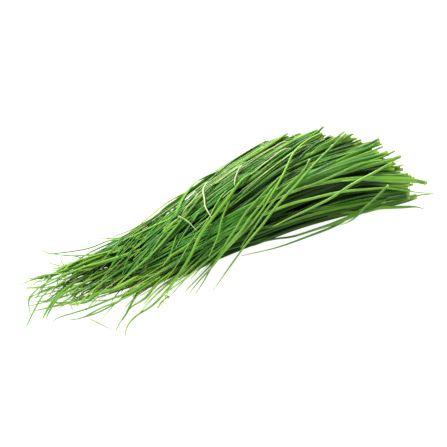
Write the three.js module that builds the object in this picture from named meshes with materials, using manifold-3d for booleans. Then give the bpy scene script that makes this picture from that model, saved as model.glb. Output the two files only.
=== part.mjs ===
import * as THREE from "three";
import Module from "manifold-3d";

// Sizes are in millimetres. +X runs from the leaf tips to the cut ends, +Z is up,
// and the bunch lies on the plane z = 0.

// The heap's outline: one value every 40 mm along X, from the tips to the cut ends.
const FIRST_X = -150;
const STEP_X = 40;
const FAR_EDGE = [14, 18, 19, 27, 42, 53, 61, 67];
const NEAR_EDGE = [-12, -13, -20, -24, -25, -25, -30, -37];
const HEIGHT = [9, 16, 23, 30, 36, 40, 41, 39];
const SQUARENESS = 0.8; // exponent of the heap's rounded section, 1 is an ellipse

// The middle of the bunch's plan extent, which is the origin of the finished part.
const MIDDLE_X = -1.5;
const MIDDLE_Y = -1.5;

// The leaves lie in handfuls, in rings from the outside to the heart of the bunch.
const SEED = 7301;
const RINGS = [
  { handfuls: 15, leaves: 16, radius: 0.9 },
  { handfuls: 11, leaves: 9, radius: 0.62 },
  { handfuls: 5, leaves: 7, radius: 0.3 },
];
const LEAF_STEPS = 30;
const LEAF_STATIONS = [0, 9, 17, 24, 30];
const STRAY_STATIONS = 7;
const SHOWN_ABOVE = 5; // so many leaves of an upper handful stand out of the heart
const SHOWN_BELOW = 2; // and so many of one on the underside
const SHOWN_STUBS = 3; // one in so many of the inner leaves shows as a stub
const LEAF_THICKNESS = 1.1; // from the base to the keel
const LEAF_WIDTH = 1.25; // of one that stands for its neighbours, as a share of its own
const STUB_THICKNESS = 1.8; // a stub stands for leaves pressed together
const STUB_WIDTH = 2; // as a share of the leaf's width
const TIP_SHARE = 0.25; // width of a tip as a share of the leaf's width
const EVEN_SHARE = 0.05; // of a leaf's length before it begins to narrow
const LOOSE_EVEN_SHARE = 0.3; // the same, of a leaf that lies loose or leaves the heap
const CUT_X = 124; // where the near leaves are cut
const LAST_CUT_X = 140;
const TIP_X = -104;
const FURTHEST_TIP_X = -146;
const SHORTEST_TIP_X = -40;
const LONGEST_LEAF = 262;
const HOLLOW = 0.28; // how far the near side sinks in, as a share of the section

// The solid heart that the leaves stand out of.
const CORE_RADIUS = 0.76;
const CORE_SIDES = 16;
const CORE_STATIONS = 9;
const CORE_TIP_X = -98;
const CORE_TIP_SHARE = 0.3; // its section at the tips as a share of the full one
const CORE_TAPER = 0.36; // share of its length over which it narrows to that
const CORE_SETBACK = 9; // the stubs of the cut leaves stand this far out of its end
const CORE_BASE = 0.7; // height of its underside above the surface
const ROOT_DEPTH = 0.8; // how far out in the heart the root of a stray leaf lies
const STUB_DEPTH = 5; // of a stub inside the heart
const PRESSED = 4.5; // how much the weight flattens the underside
const FLOOR_GAP = 0.3; // height of the centre line of a leaf pressed on the surface

const LEAF_GREEN = "#5c9437";
const BRIGHT_GREEN = "#86b83d";
const STRAW = "#d3cf9a";

// Long leaves of the bunch that leave the heap, from inside it to the tip.
const STRAYS = [
  { width: 4.4, lift: 0.97, points: [[49, 47, 29], [29, 38, 31], [-1, 33, 31], [-18, 23, 30],
    [-33, 8, 29], [-50, -4, 26]] },
  { width: 2.0, lift: 1, points: [[20, 38, 32], [-18, 24, 30], [-33, 21, 27], [-50, 16, 22],
    [-67, 21, 14], [-79, 33, 9]] },
  { width: 2.2, lift: 0, points: [[-20, 10, 28], [-52, 6, 27], [-67, 9, 22], [-78, 17, 18],
    [-92, 21, 14], [-111, 33, 9], [-117, 43, 7]] },
  { width: 2.0, lift: 0, points: [[-40, -2, 24], [-77, 1, 21], [-89, 10, 16], [-104, 22, 12],
    [-114, 35, 9]] },
  { width: 2.4, lift: 0, points: [[-60, 0, 22], [-102, 9, 17], [-115, 9, 13], [-126, 14, 9],
    [-137, 19, 5]] },
  { width: 2.6, lift: 0, points: [[-60, -6, 22], [-93, -3, 20], [-105, 1, 17], [-127, 4, 12],
    [-139, 3, 7], [-143, -1, 4], [-145, -9, 1]] },
  { width: 2.4, lift: 0, points: [[-80, 0, 16], [-113, 1, 12], [-123, 0, 10], [-134, -2, 7],
    [-149, -15, 2], [-151, -18, 1]] },
  { width: 2.2, lift: 0, points: [[-80, -8, 16], [-110, -8, 12], [-124, -7, 7], [-133, -12, 3],
    [-138, -17, 1]] },
  { width: 2.2, lift: 0, points: [[-80, -3, 12], [-110, -1, 9], [-127, -6, 5], [-136, -12, 2],
    [-140, -16, 1]] },
  { width: 3.4, lift: 0, points: [[-60, -18, 14], [-88, -22, 11], [-102, -18, 8], [-110, -19, 6],
    [-121, -14, 4]] },
  { width: 2.4, lift: 0, points: [[-50, -20, 12], [-80, -27, 9], [-93, -25, 7], [-113, -23, 4],
    [-130, -20, 2], [-136, -22, 1]] },
  { width: 2.2, lift: 0, points: [[-60, -24, 10], [-84, -28, 7], [-104, -26, 3], [-118, -26, 1],
    [-130, -22, 1]] },
  { width: 2.4, lift: 0, points: [[-30, -20, 14], [-61, -26, 9], [-74, -31, 4], [-87, -34, 2],
    [-100, -44, 1], [-104, -49, 1]] },
  { width: 2.2, lift: 0, points: [[-30, -14, 16], [-66, -20, 11], [-78, -27, 6], [-90, -36, 2],
    [-96, -41, 1]] },
  { width: 2.0, lift: 0, points: [[-60, 4, 22], [-96, 6, 17], [-106, 8, 14], [-120, 14, 9],
    [-129, 18, 7], [-138, 18, 5]] },
  { width: 2.0, lift: 0, points: [[-70, -12, 14], [-101, -12, 10], [-113, -7, 6], [-121, -5, 4],
    [-133, -3, 2]] },
  { width: 2.0, lift: 0, points: [[-70, 8, 18], [-104, 12, 14], [-113, 13, 12], [-123, 11, 9],
    [-132, 6, 4], [-136, 4, 2]] },
  { width: 2.0, lift: 0, points: [[-66, 2, 18], [-97, 3, 16], [-107, 3, 13], [-118, 5, 7],
    [-123, 4, 5], [-128, 1, 3]] },
  { width: 2.6, lift: 0, points: [[115, -28, 12], [93, -26, 8], [78, -23, 5], [60, -22, 3],
    [43, -20, 2], [29, -17, 2], [5, -15, 3]] },
  { width: 1.5, lift: 0, points: [[125, -29, 14], [97, -28, 11], [89, -26, 7], [74, -26, 3],
    [52, -25, 1], [28, -25, 1], [1, -21, 1]] },
  { width: 2.6, lift: 0, points: [[138, -42, 5], [122, -33, 7], [106, -28, 8], [90, -24, 8],
    [65, -21, 6]] },
  { width: 1.4, lift: 0, points: [[148, -38, 12], [139, -35, 12], [130, -34, 12], [109, -29, 12]] },
  { width: 2.4, lift: 1, points: [[77, 45, 37], [63, 39, 38], [46, 33, 38], [29, 29, 36],
    [13, 26, 34], [-5, 22, 32]] },
  { width: 2.6, lift: 1, points: [[53, 37, 38], [36, 32, 37], [21, 29, 35], [6, 25, 34]] },
  { width: 2.4, lift: 1, points: [[102, 37, 40], [91, 31, 40], [76, 26, 41], [55, 19, 40],
    [37, 13, 39]] },
  { width: 1.6, lift: 1, points: [[112, 24, 40], [96, 17, 41], [85, 15, 41], [75, 10, 41]] },
  { width: 2.4, lift: 1, points: [[116, 19, 40], [108, 17, 40], [92, 12, 41]] },
  { width: 1.8, lift: 1, points: [[128, 3, 39], [117, 0, 39], [104, -2, 40], [86, -4, 40]] },
  { width: 2.8, lift: 0.96, points: [[130, -31, 30], [114, -26, 34], [96, -21, 37],
    [76, -16, 38]] },
];

// Leaves that lie loose over the bunch, from the cut end to the tip. Each keeps a
// distance from the heart, as a share of the heap's section, so that it clears the rest.
const LOOSE_LEAVES = [
  { width: 1.9, lift: 1.28, points: [[106, 14, 46], [72, -4, 46], [48, -16, 42], [27, -25, 37],
    [12, -31, 30], [-2, -34, 21], [-12, -35, 11], [-22, -38, 4], [-34, -45, 1]] },
  { width: 1.8, lift: 1.15, points: [[78, 11, 44], [59, -6, 42], [45, -12, 40], [31, -17, 37],
    [16, -24, 32], [2, -29, 23], [-4, -30, 16]] },
  { width: 2.1, lift: 1.16, points: [[92, 25, 44], [79, 22, 44], [63, 14, 44], [45, -2, 42],
    [21, -19, 36], [6, -26, 30], [-8, -29, 23], [-18, -30, 16]] },
  { width: 1.8, lift: 1.15, points: [[28, -9, 39], [17, -14, 37], [6, -19, 34], [-4, -24, 29],
    [-15, -29, 22], [-25, -31, 11], [-33, -33, 2], [-45, -42, 1]] },
  { width: 1.8, lift: 1.24, points: [[20, -18, 38], [7, -24, 34], [-3, -28, 29], [-16, -32, 22],
    [-26, -32, 11], [-39, -35, 4], [-51, -42, 1]] },
  { width: 1.5, lift: 1.13, points: [[10, 3, 38], [0, -6, 36], [-11, -17, 33], [-18, -25, 28],
    [-25, -29, 21], [-27, -29, 17]] },
  { width: 2.6, lift: 1.22, points: [[14, 5, 40], [-1, -5, 38], [-16, -13, 34], [-29, -21, 30],
    [-41, -29, 22], [-55, -33, 10], [-71, -38, 3], [-86, -41, 1], [-95, -47, 1], [-101, -56, 1]] },
  { width: 2.3, lift: 1.13, points: [[-6, 14, 36], [-28, 1, 32], [-42, -7, 30], [-61, -16, 25],
    [-80, -21, 19], [-94, -24, 13]] },
  { width: 3.0, lift: 1.09, points: [[139, -39, 26], [126, -35, 31], [109, -29, 34], [92, -23, 36],
    [75, -19, 37], [55, -16, 37], [39, -16, 36], [15, -16, 34]] },
  { width: 1.9, lift: 1.06, points: [[142, -40, 16], [128, -40, 22], [111, -35, 28], [94, -30, 30],
    [76, -27, 32], [57, -24, 32], [39, -22, 32], [17, -22, 31]] },
  { width: 1.9, lift: 1.2, points: [[122, -24, 40], [104, -27, 39], [84, -29, 37], [65, -31, 33],
    [47, -31, 30], [32, -31, 28], [20, -31, 26]] },
  { width: 1.7, lift: 1.2, points: [[108, -37, 33], [101, -39, 30], [90, -39, 23]] },
  { width: 2.2, lift: 1.14, points: [[115, -18, 40], [98, -16, 41], [80, -17, 40], [61, -18, 39],
    [46, -16, 38]] },
  { width: 1.7, lift: 1.09, points: [[-5, -1, 35], [-21, -13, 31], [-35, -20, 27], [-49, -28, 20],
    [-62, -30, 8]] },
  { width: 1.6, lift: 1.2, points: [[-44, -22, 25], [-52, -23, 23], [-59, -25, 19]] },
];

// Withered, straw-coloured leaf ends that lie on top, given in the same way.
const DRY_LEAVES = [
  { width: 1.4, lift: 1.24, points: [[-3, 19, 38], [-8, 14, 37], [-13, 5, 37], [-15, -1, 36],
    [-17, -8, 35]] },
  { width: 1.2, lift: 1.24, points: [[-13, 12, 37], [-19, 8, 36], [-25, 5, 35], [-31, 1, 33]] },
  { width: 1.3, lift: 1.12, points: [[27, 23, 40], [23, 20, 39], [17, 14, 39], [13, 8, 39],
    [12, 6, 39]] },
  { width: 1.1, lift: 1.3, points: [[-34, 0, 34], [-32, -5, 34], [-31, -11, 34], [-30, -18, 33]] },
  { width: 1.0, lift: 0, points: [[-113, -29, 1], [-109, -37, 1], [-104, -47, 1]] },
];

const wasm = await Module();
wasm.setup();

// A small seeded generator, so that every build lays the same leaves.
class Draw {
  constructor(seed) {
    this.state = seed >>> 0;
  }

  next() {
    this.state = (this.state + 0x6d2b79f5) >>> 0;
    let t = this.state;
    t = Math.imul(t ^ (t >>> 15), t | 1) >>> 0;
    t = (t ^ (t + (Math.imul(t ^ (t >>> 7), t | 61) >>> 0))) >>> 0;
    return ((t ^ (t >>> 14)) >>> 0) / 4294967296;
  }

  between(low, high) {
    return low + (high - low) * this.next();
  }

  // Mostly near zero, never beyond 2 either way.
  bell() {
    return this.next() + this.next() + this.next() + this.next() - 2;
  }
}

const clamp = THREE.MathUtils.clamp;

function smooth(low, high, value) {
  const t = clamp((value - low) / (high - low), 0, 1);
  return t * t * (3 - 2 * t);
}

// The heap as a rounded section that changes along X.
function profile(values) {
  return new THREE.SplineCurve(values.map((value, k) => new THREE.Vector2(k, value)));
}

const farEdge = profile(FAR_EDGE);
const nearEdge = profile(NEAR_EDGE);
const heapHeight = profile(HEIGHT);

function along(curve, x) {
  const last = FAR_EDGE.length - 1;
  return curve.getPoint(clamp((x - FIRST_X) / (STEP_X * last), 0, 0.99999)).y;
}

function heapAt(x) {
  const far = along(farEdge, x);
  const near = along(nearEdge, x);
  return { middle: (far + near) / 2, half: (far - near) / 2, height: along(heapHeight, x) };
}

// A place in the section, from -1 to 1 across and up, for an angle from the far side.
function section(angle, radius) {
  const c = Math.cos(angle);
  const s = Math.sin(angle);
  return {
    across: radius * Math.sign(c) * Math.abs(c) ** SQUARENESS,
    up: radius * Math.sign(s) * Math.abs(s) ** SQUARENESS,
  };
}

// The underside of the heap is pressed flat on the surface.
function place(x, { across, up }) {
  const heap = heapAt(x);
  const round = 0.5 * heap.height * (1 + up);
  const z = Math.max(FLOOR_GAP, round - PRESSED * smooth(-0.3, -0.85, up));
  return new THREE.Vector3(x, heap.middle + heap.half * across, z);
}

function placeIn(point) {
  const heap = heapAt(point.x);
  return { across: (point.y - heap.middle) / heap.half, up: (2 * point.z) / heap.height - 1 };
}

// The ends fan out: the far leaves are cut sooner than the near and the lowest ones.
function cutX({ across, up }) {
  const far = clamp((across + 0.2) / 1.2, 0, 1);
  return CUT_X - 70 * far ** 1.5 + 8 * smooth(0.2, -0.6, up) + 8 * smooth(-0.6, -1, across);
}

// How far the leaves sink in along the near side, where the bunch is thin.
function hollow(angle, x) {
  const turn = THREE.MathUtils.radToDeg(angle);
  const band = smooth(122, 142, turn) * smooth(192, 178, turn);
  return HOLLOW * band * smooth(-15, 30, x) * smooth(130, 100, x);
}

function handful(ring, index) {
  const { handfuls, radius } = RINGS[ring];
  const draw = new Draw(SEED + 5000 + 100 * ring + index);
  const angle = (2 * Math.PI * (index + 0.22 * draw.bell())) / handfuls;
  const upper = smooth(0.1, 0.75, Math.sin(angle));
  const leanUpper = upper * (0.2 + 0.75 * smooth(0.6, 1.6, angle) + 0.75 * draw.bell());
  const leanLower = (1 - upper) * (-0.2 + 0.45 * draw.bell());
  return {
    angle,
    radius: radius + (index % 2 ? 0.05 : -0.05),
    lean: leanUpper + leanLower,
    dive: -0.06 + 0.16 * draw.bell(),
    end: 4 * draw.bell(),
    tips: 16 * draw.bell(),
    fall: 0.4 * draw.bell() - 0.2,
  };
}

// One leaf's own numbers: where it lies in its handful, how it leans and how long it is.
function leafOf(ring, index, number) {
  const hand = handful(ring, index);
  const { handfuls, leaves } = RINGS[ring];
  const draw = new Draw(SEED + 20000 * (ring + 1) + 100 * index + number);
  const spot = (number + 0.5 + 0.6 * draw.bell()) / leaves - 0.5;
  const angle = hand.angle + (1.05 * 2 * Math.PI * spot) / handfuls;
  const radius = clamp(hand.radius + 0.06 * draw.bell(), 0.04, 0.97);
  const radiusAtTip = clamp(radius + hand.dive + 0.05 * draw.bell(), 0.04, 0.97);
  const lean = hand.lean * (ring === 0 ? 1 : 0.4) + 0.42 * draw.bell();
  const sway = 0.07 * draw.bell();
  const stray = 1.1 * draw.bell();
  const phase = draw.between(0, 6.28);
  let start = cutX(section(angle, radius)) + hand.end + 3 * draw.bell();
  if (draw.next() < 0.12) {
    start += draw.between(3, 9);
  }
  start = Math.min(start, LAST_CUT_X);
  const near = smooth(0.2, -0.8, Math.cos(angle + lean));
  let tip = TIP_X + 16 * near + 24 * ring + hand.tips + 36 * draw.bell();
  tip = clamp(tip, FURTHEST_TIP_X, SHORTEST_TIP_X);
  tip = Math.max(tip, start - LONGEST_LEAF - 12 * draw.next());
  let width = draw.between(1.6, 3);
  if (draw.next() < 0.08) {
    width += 1;
  }
  const aside = smooth(-50, -95, tip);
  const turn = aside * (hand.fall + 0.9 * draw.bell());
  const wave = aside * 0.45 * draw.bell();
  const free = (start - tip) * draw.between(0.62, 0.85);
  const sag = draw.between(0.3, 1);
  const way = { angle, radius, radiusAtTip, lean, sway, stray, phase };
  return { ...way, start, tip, width, turn, wave, free, sag };
}

// Inside the heap a leaf keeps its place in the section, with a lean and a sway, and
// strays more and more towards its tip.
function heldPoint(leaf, x) {
  const f = (146 - x) / 250;
  const loose = smooth(0.4, 1.1, f);
  const swing = leaf.sway * (1 + 3 * loose) * Math.sin(x / 33 + leaf.phase);
  const angle = leaf.angle + leaf.lean * (f - 0.15) + swing + leaf.stray * loose;
  const radius = leaf.radius + (leaf.radiusAtTip - leaf.radius) * clamp(f, 0, 1);
  return place(x, section(angle, Math.max(0.04, radius - hollow(angle, x))));
}

// Past its free length it turns aside and sags towards the surface.
function freePoint(leaf, last, heading, up, t) {
  const step = (leaf.start - leaf.tip) / LEAF_STEPS;
  const h = heading - leaf.turn * t * t + leaf.wave * t * Math.sin(leaf.phase + 5 * t);
  const x = last.x - step * Math.cos(h);
  const y = last.y + step * Math.sin(h);
  const rest = 0.5 * heapAt(x).height * (1 + up) * (1 - leaf.sag * t);
  return new THREE.Vector3(x, y, Math.max(FLOOR_GAP, last.z + 0.4 * (rest - last.z)));
}

function leafPath(leaf) {
  const length = leaf.start - leaf.tip;
  const points = [];
  let heading = null;
  let up = 0;
  for (let k = 0; k <= LEAF_STEPS; k++) {
    const s = (length * k) / LEAF_STEPS;
    if (s <= leaf.free) {
      points.push(heldPoint(leaf, leaf.start - s));
      up = placeIn(points[k]).up;
      continue;
    }
    const last = points[k - 1];
    if (heading === null) {
      const before = points[k - 2];
      heading = Math.atan2(last.y - before.y, before.x - last.x);
    }
    points.push(freePoint(leaf, last, heading, up, (s - leaf.free) / (length - leaf.free)));
  }
  return points;
}

// Moves a point out of the heap until it has this share of the section's radius.
function clearOf(point, lift) {
  const share = shareOf(point);
  return share < lift ? push(point, lift / Math.max(share, 0.01)) : point;
}

// Moves the root of a leaf into the heart.
function sink(point) {
  const t = (point.x - CORE_TIP_X) / (CUT_X - CORE_TIP_X);
  const root = ROOT_DEPTH * CORE_RADIUS * coreShare(t);
  const share = shareOf(point);
  return share > root ? push(point, root / share) : point;
}

// How far out a point lies, as a share of the section's radius.
function shareOf(point) {
  const { across, up } = placeIn(point);
  const power = 2 / SQUARENESS;
  return (Math.abs(across) ** power + Math.abs(up) ** power) ** (1 / power);
}

function push(point, factor) {
  const heap = heapAt(point.x);
  const { across, up } = placeIn(point);
  point.y = heap.middle + heap.half * across * factor;
  point.z = Math.max(FLOOR_GAP, 0.5 * heap.height * (1 + up * factor));
  return point;
}

function strayPath({ points, lift }, stations) {
  const line = new THREE.CatmullRomCurve3(
    points.map((p) => new THREE.Vector3(...p)), false, "catmullrom", 0.5);
  return line.getPoints(stations).map((point) => clearOf(point, lift));
}

// The way a leaf's keel points: out of the heap and up, square to the leaf, so that
// the leaves underneath lie with their flat side on the surface.
function outward(point, tangent) {
  const { across, up } = placeIn(point);
  const level = smooth(-0.6, -0.85, up);
  const out = new THREE.Vector3(0, across * (1 - level), Math.abs(up) + 0.35);
  return out.addScaledVector(tangent, -out.dot(tangent)).normalize();
}

// The width's share at t along a leaf that narrows from the share even on.
function widthShare(t, even) {
  return 1 - (1 - TIP_SHARE) * clamp((t - even) / (1 - even), 0, 1) ** 1.8;
}

// One three-sided ring of a leaf: a flat base and a keel.
function leafRing(point, tangent, width, thick) {
  const out = outward(point, tangent);
  const side = new THREE.Vector3().crossVectors(out, tangent);
  const half = width / 2;
  const corner = (across, up) => point.clone().addScaledVector(side, across * half)
    .addScaledVector(out, up * thick);
  return [corner(-1, -0.4), corner(1, -0.4), corner(0, 0.6)];
}

function leafRings(path, width, even, thickness) {
  return path.map((point, k) => {
    const ahead = path[Math.min(k + 1, path.length - 1)];
    const behind = path[Math.max(k - 1, 0)];
    const tangent = ahead.clone().sub(behind).normalize();
    const t = k / (path.length - 1);
    return leafRing(point, tangent, width * widthShare(t, even), thickness * (1 - 0.3 * t));
  });
}

// A closed solid through rings of points, with a fan over the first and the last ring.
function loft(rings) {
  const count = rings[0].length;
  const faces = [];
  for (let r = 0; r + 1 < rings.length; r++) {
    for (let k = 0; k < count; k++) {
      const a = r * count + k;
      const b = r * count + ((k + 1) % count);
      faces.push(a, b, b + count, a, b + count, a + count);
    }
  }
  const last = (rings.length - 1) * count;
  for (let k = 1; k + 1 < count; k++) {
    faces.push(0, k + 1, k, last, last + k, last + k + 1);
  }
  const points = rings.flat().flatMap((p) => p.toArray());
  return solid(points, faces);
}

function solid(points, faces) {
  return new wasm.Manifold(new wasm.Mesh({
    numProp: 3,
    vertProperties: new Float32Array(points),
    triVerts: new Uint32Array(faces),
  }));
}

function blade(path, width, even = LOOSE_EVEN_SHARE, thickness = LEAF_THICKNESS) {
  return loft(leafRings(path, width, even, thickness));
}

// The heart's section at t along it, as a share of the full one.
function coreShare(t) {
  return CORE_TIP_SHARE + (1 - CORE_TIP_SHARE) * smooth(0, CORE_TAPER, t);
}

// A point of the heart's section, kept just off the surface.
function corePoint(x, angle, share) {
  const radius = CORE_RADIUS * share - hollow(angle, x);
  const point = place(x, section(angle, radius));
  point.z = Math.max(point.z, CORE_BASE);
  return point;
}

function core() {
  const angles = [...Array(CORE_SIDES).keys()].map((k) => (2 * Math.PI * k) / CORE_SIDES);
  const rings = [];
  for (let k = 0; k <= CORE_STATIONS; k++) {
    const t = k / CORE_STATIONS;
    rings.push(angles.map((angle) => {
      const end = cutX(section(angle, CORE_RADIUS)) - CORE_SETBACK;
      return corePoint(CORE_TIP_X + (end - CORE_TIP_X) * t, angle, coreShare(t));
    }));
  }
  for (const share of [0.6, 0.15]) {
    rings.push(angles.map((angle) => {
      const end = cutX(section(angle, CORE_RADIUS * share)) - CORE_SETBACK;
      return corePoint(end, angle, share);
    }));
  }
  return loft(rings);
}

function outerBlades() {
  const blades = [];
  for (let index = 0; index < RINGS[0].handfuls; index++) {
    const shown = Math.sin(handful(0, index).angle) < -0.3 ? SHOWN_BELOW : SHOWN_ABOVE;
    for (let k = 0; k < shown; k++) {
      const leaf = leafOf(0, index, Math.floor(((k + 0.3) * RINGS[0].leaves) / shown));
      const path = leafPath(leaf);
      const stations = LEAF_STATIONS.map((station) => path[station]);
      blades.push(blade(stations, LEAF_WIDTH * leaf.width, EVEN_SHARE));
    }
  }
  return blades;
}

// The inner leaves show only where they are cut, as stubs on the end of the heart.
function stubs() {
  const blades = [];
  for (let ring = 1; ring < RINGS.length; ring++) {
    for (let index = 0; index < RINGS[ring].handfuls; index++) {
      for (let number = 0; number < RINGS[ring].leaves; number += SHOWN_STUBS) {
        const leaf = leafOf(ring, index, number);
        const root = cutX(section(leaf.angle, leaf.radius)) - CORE_SETBACK - STUB_DEPTH;
        const path = [heldPoint(leaf, leaf.start), heldPoint(leaf, root)];
        blades.push(blade(path, STUB_WIDTH * leaf.width, LOOSE_EVEN_SHARE, STUB_THICKNESS));
      }
    }
  }
  return blades;
}

function strays() {
  return STRAYS.map((stray) => {
    const path = strayPath(stray, STRAY_STATIONS);
    const cut = path[0].x > cutX(placeIn(path[0])) - CORE_SETBACK;
    sink(path[cut ? STRAY_STATIONS : 0]);
    return blade(path, stray.width);
  });
}

// Everything below the surface, as one block.
function underside() {
  const block = new THREE.BoxGeometry(400, 300, 20).translate(0, 0, -10);
  const seen = new Map();
  const points = [];
  const corners = block.getAttribute("position");
  const index = [...block.getIndex().array].map((k) => {
    const corner = [corners.getX(k), corners.getY(k), corners.getZ(k)];
    const key = corner.join();
    if (!seen.has(key)) {
      seen.set(key, seen.size);
      points.push(...corner);
    }
    return seen.get(key);
  });
  return solid(points, index);
}

function bunchSolid() {
  const all = wasm.Manifold.union([core(), ...outerBlades(), ...stubs(), ...strays()]);
  const bodies = all.subtract(underside()).decompose();
  return bodies.reduce((big, body) => (body.volume() > big.volume() ? body : big));
}

function meshOf(name, shape, colour, roughness) {
  const { vertProperties, triVerts } = shape.getMesh();
  const geometry = new THREE.BufferGeometry();
  geometry.setAttribute("position", new THREE.BufferAttribute(vertProperties, 3));
  geometry.setIndex(new THREE.BufferAttribute(triVerts, 1));
  geometry.translate(-MIDDLE_X, -MIDDLE_Y, 0);
  geometry.computeVertexNormals();
  const material = new THREE.MeshStandardMaterial({ color: colour, roughness, metalness: 0 });
  const mesh = new THREE.Mesh(geometry, material);
  mesh.name = name;
  return mesh;
}

const bunch = new THREE.Group();
bunch.add(meshOf("leaf_bunch", bunchSolid(), LEAF_GREEN, 0.5));
LOOSE_LEAVES.forEach((leaf, k) => {
  bunch.add(meshOf("loose_leaf_" + (k + 1), blade(strayPath(leaf, 12), leaf.width), BRIGHT_GREEN, 0.45));
});
DRY_LEAVES.forEach((leaf, k) => {
  bunch.add(meshOf("dry_leaf_" + (k + 1), blade(strayPath(leaf, 6), leaf.width), STRAW, 0.7));
});

export default bunch;
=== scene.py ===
import math

import bpy
import numpy as np
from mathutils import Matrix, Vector


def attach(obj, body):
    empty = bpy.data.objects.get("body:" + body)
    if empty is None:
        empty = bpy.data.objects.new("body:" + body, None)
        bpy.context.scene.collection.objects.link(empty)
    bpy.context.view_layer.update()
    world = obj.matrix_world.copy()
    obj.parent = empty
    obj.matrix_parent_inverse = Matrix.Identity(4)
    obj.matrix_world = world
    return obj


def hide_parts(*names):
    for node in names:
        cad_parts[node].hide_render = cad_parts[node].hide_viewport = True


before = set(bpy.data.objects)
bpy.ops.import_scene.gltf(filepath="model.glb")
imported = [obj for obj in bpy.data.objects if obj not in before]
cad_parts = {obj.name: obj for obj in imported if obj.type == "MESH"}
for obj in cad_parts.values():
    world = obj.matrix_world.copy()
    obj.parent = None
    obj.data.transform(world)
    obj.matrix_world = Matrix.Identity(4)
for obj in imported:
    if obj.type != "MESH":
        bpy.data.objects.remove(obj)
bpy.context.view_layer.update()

# Sizes are in millimetres until a mesh is made, and angles in radians unless said
# otherwise. +X runs from the leaf tips to the cut ends, +Z is up, and the bunch lies on
# the plane z = 0.
MM = 0.001

# The heap's outline: one value every 40 mm along X, from the tips to the cut ends.
FIRST_X = -150
STEP_X = 40
FAR_EDGE = (14, 18, 19, 27, 42, 53, 61, 67)
NEAR_EDGE = (-12, -13, -20, -24, -25, -25, -30, -37)
HEIGHT = (9, 16, 23, 30, 36, 40, 41, 39)
MIDDLE = Vector((-1.5, -1.5, 0))  # of the bunch's plan extent, which is the origin
SQUARENESS = 0.8  # of the heap's section; an ellipse would have 1
POWER = 2 / SQUARENESS
FLOOR_GAP = 0.3
PRESSED = 4.5  # how much the weight flattens the underside
PRESSED_BAND = (-0.3, -0.85)  # heights in the section: where that begins and is full
HOLLOW = 0.28  # how far the near side sinks in, as a share of the section's radius
HOLLOW_DEGREES = (122, 142, 178, 192)  # round the section: begins, is full, fades, ends
HOLLOW_X = (-15, 30, 100, 130)  # the same, along the bunch

# The cut ends slant: furthest out low down and on the near side, far back on the far side.
CUT_X = 124
CUT_SLANT = 70
CUT_SLANT_FROM, CUT_SLANT_POWER = -0.2, 1.5
CUT_LIP = 8
CUT_LOW, CUT_NEAR = (0.2, -0.6), (-0.6, -1)  # up and across, where it begins and is full
LAST_CUT_X = 140
# Where they step back: degrees round the section, half the width, depth.
NOTCHES = (
    (36, 9, 11), (54, 6, 9), (73, 7, 12), (86, 4, 6), (100, 5, 7), (116, 9, 6), (151, 8, 4),
)
NOTCH_RADIUS = (0.35, 0.6)  # shares of the section's radius: where they begin and are full

# Each kind of leaf draws from seeds of its own, counted up from these.
SEED = 7301
SEEDS = {
    "handful": 5000, "leaf": 20000, "leaf_blade": 900000, "crossing": 940000, "upper": 941000,
    "pale": 942000, "stub": 943000, "stub_blade": 944000, "edge": 950000, "yellowing": 955000,
    "fine_tip": 960000, "fine_tip_blade": 0, "trailing": 970000, "loose": 980000,
    "withered": 990000,
}
RING_SEEDS = {"handful": 100, "leaf": 20000, "leaf_blade": 10000}  # from ring to ring
HANDFUL_SEEDS = 100  # from one handful's leaves to the next
BLADE_SEED = 500  # from an askew leaf's seed to the seed of its blade
FULL_TURN = 6.28

# The leaves lie in handfuls, in rings from the outside to the heart of the bunch. A few
# handfuls together make one piece.
RINGS = (
    {"piece": "outer_leaves", "together": 2, "handfuls": 15, "leaves": 16, "radius": 0.9},
    {"piece": "inner_leaves", "together": 4, "handfuls": 11, "leaves": 9, "radius": 0.62},
    {"piece": "heart_leaves", "together": 5, "handfuls": 5, "leaves": 7, "radius": 0.3},
)
# What a handful's leaves share: a middle value, and how far from it a bell draw of 1 leads.
HANDFUL = {
    "place": (0, 0.22),  # share of the way to the next handful
    "upper_lean": (0.2, 0.75),  # how far its leaves turn round the section up to the tips
    "lower_lean": (-0.2, 0.45),
    "dive": (-0.06, 0.16),  # share of the radius by which the tips lie further out
    "end": (0, 4),  # how far the cut ends lie out
    "tips": (0, 16),  # how far the tips lie back
    "fall": (-0.2, 0.4),  # how far the free ends turn aside
}
HANDFUL_STAGGER = 0.05  # share of the radius, out for one handful and in for the next
UPPER_SIDE = (0.1, 0.75)  # heights in the section from which a handful counts as upper
TOP_LEAN = 0.75  # further lean, towards the near side, of the handfuls on top
TOP_TURN = (0.6, 1.6)
# What each leaf adds of its own, given in the same way.
LEAF = {
    "place": (0.5, 0.6),
    "radius": (0, 0.06),
    "dive": (0, 0.05),
    "lean": (0, 0.42),
    "sway": (0, 0.07),  # a wave round the section
    "stray": (0, 1.1),  # how far its tip turns round the section
    "end": (0, 3),
    "tips": (0, 36),
    "fall": (0, 0.9),
    "wave": (0, 0.45),  # of the free end
}
RADII = (0.04, 0.97)  # least and greatest share of the section's radius
OVERLAP = 1.05  # of neighbouring handfuls
INNER_LEAN = 0.4  # share of the handful's lean that the inner rings take
LONG_STARTS, LONG_BY = 0.12, (3, 9)  # the share that sticks out at the cut, and by how much
WIDTHS = (1.6, 3.0)
WIDE_LEAVES, WIDE_BY = 0.08, 1.0  # the share that is wider, and by how much
FREE_FROM = (0.62, 0.85)  # shares of the length from which a leaf lies free
SAG = (0.3, 1)  # share of its height that a tip has sunk by
HAND_TONE = 0.3  # share of the handful's tone in a leaf's own
TIP_X = -104
NEAR_TIPS_BACK, RING_TIPS_BACK = 16, 24
NEAR_TIPS = (0.2, -0.8)  # across, where the first begins and is full
FURTHEST_TIP_X = -146
SHORTEST_TIP_X = -40
LONGEST_LEAF = 262
LENGTH_SLACK = 12
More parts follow.
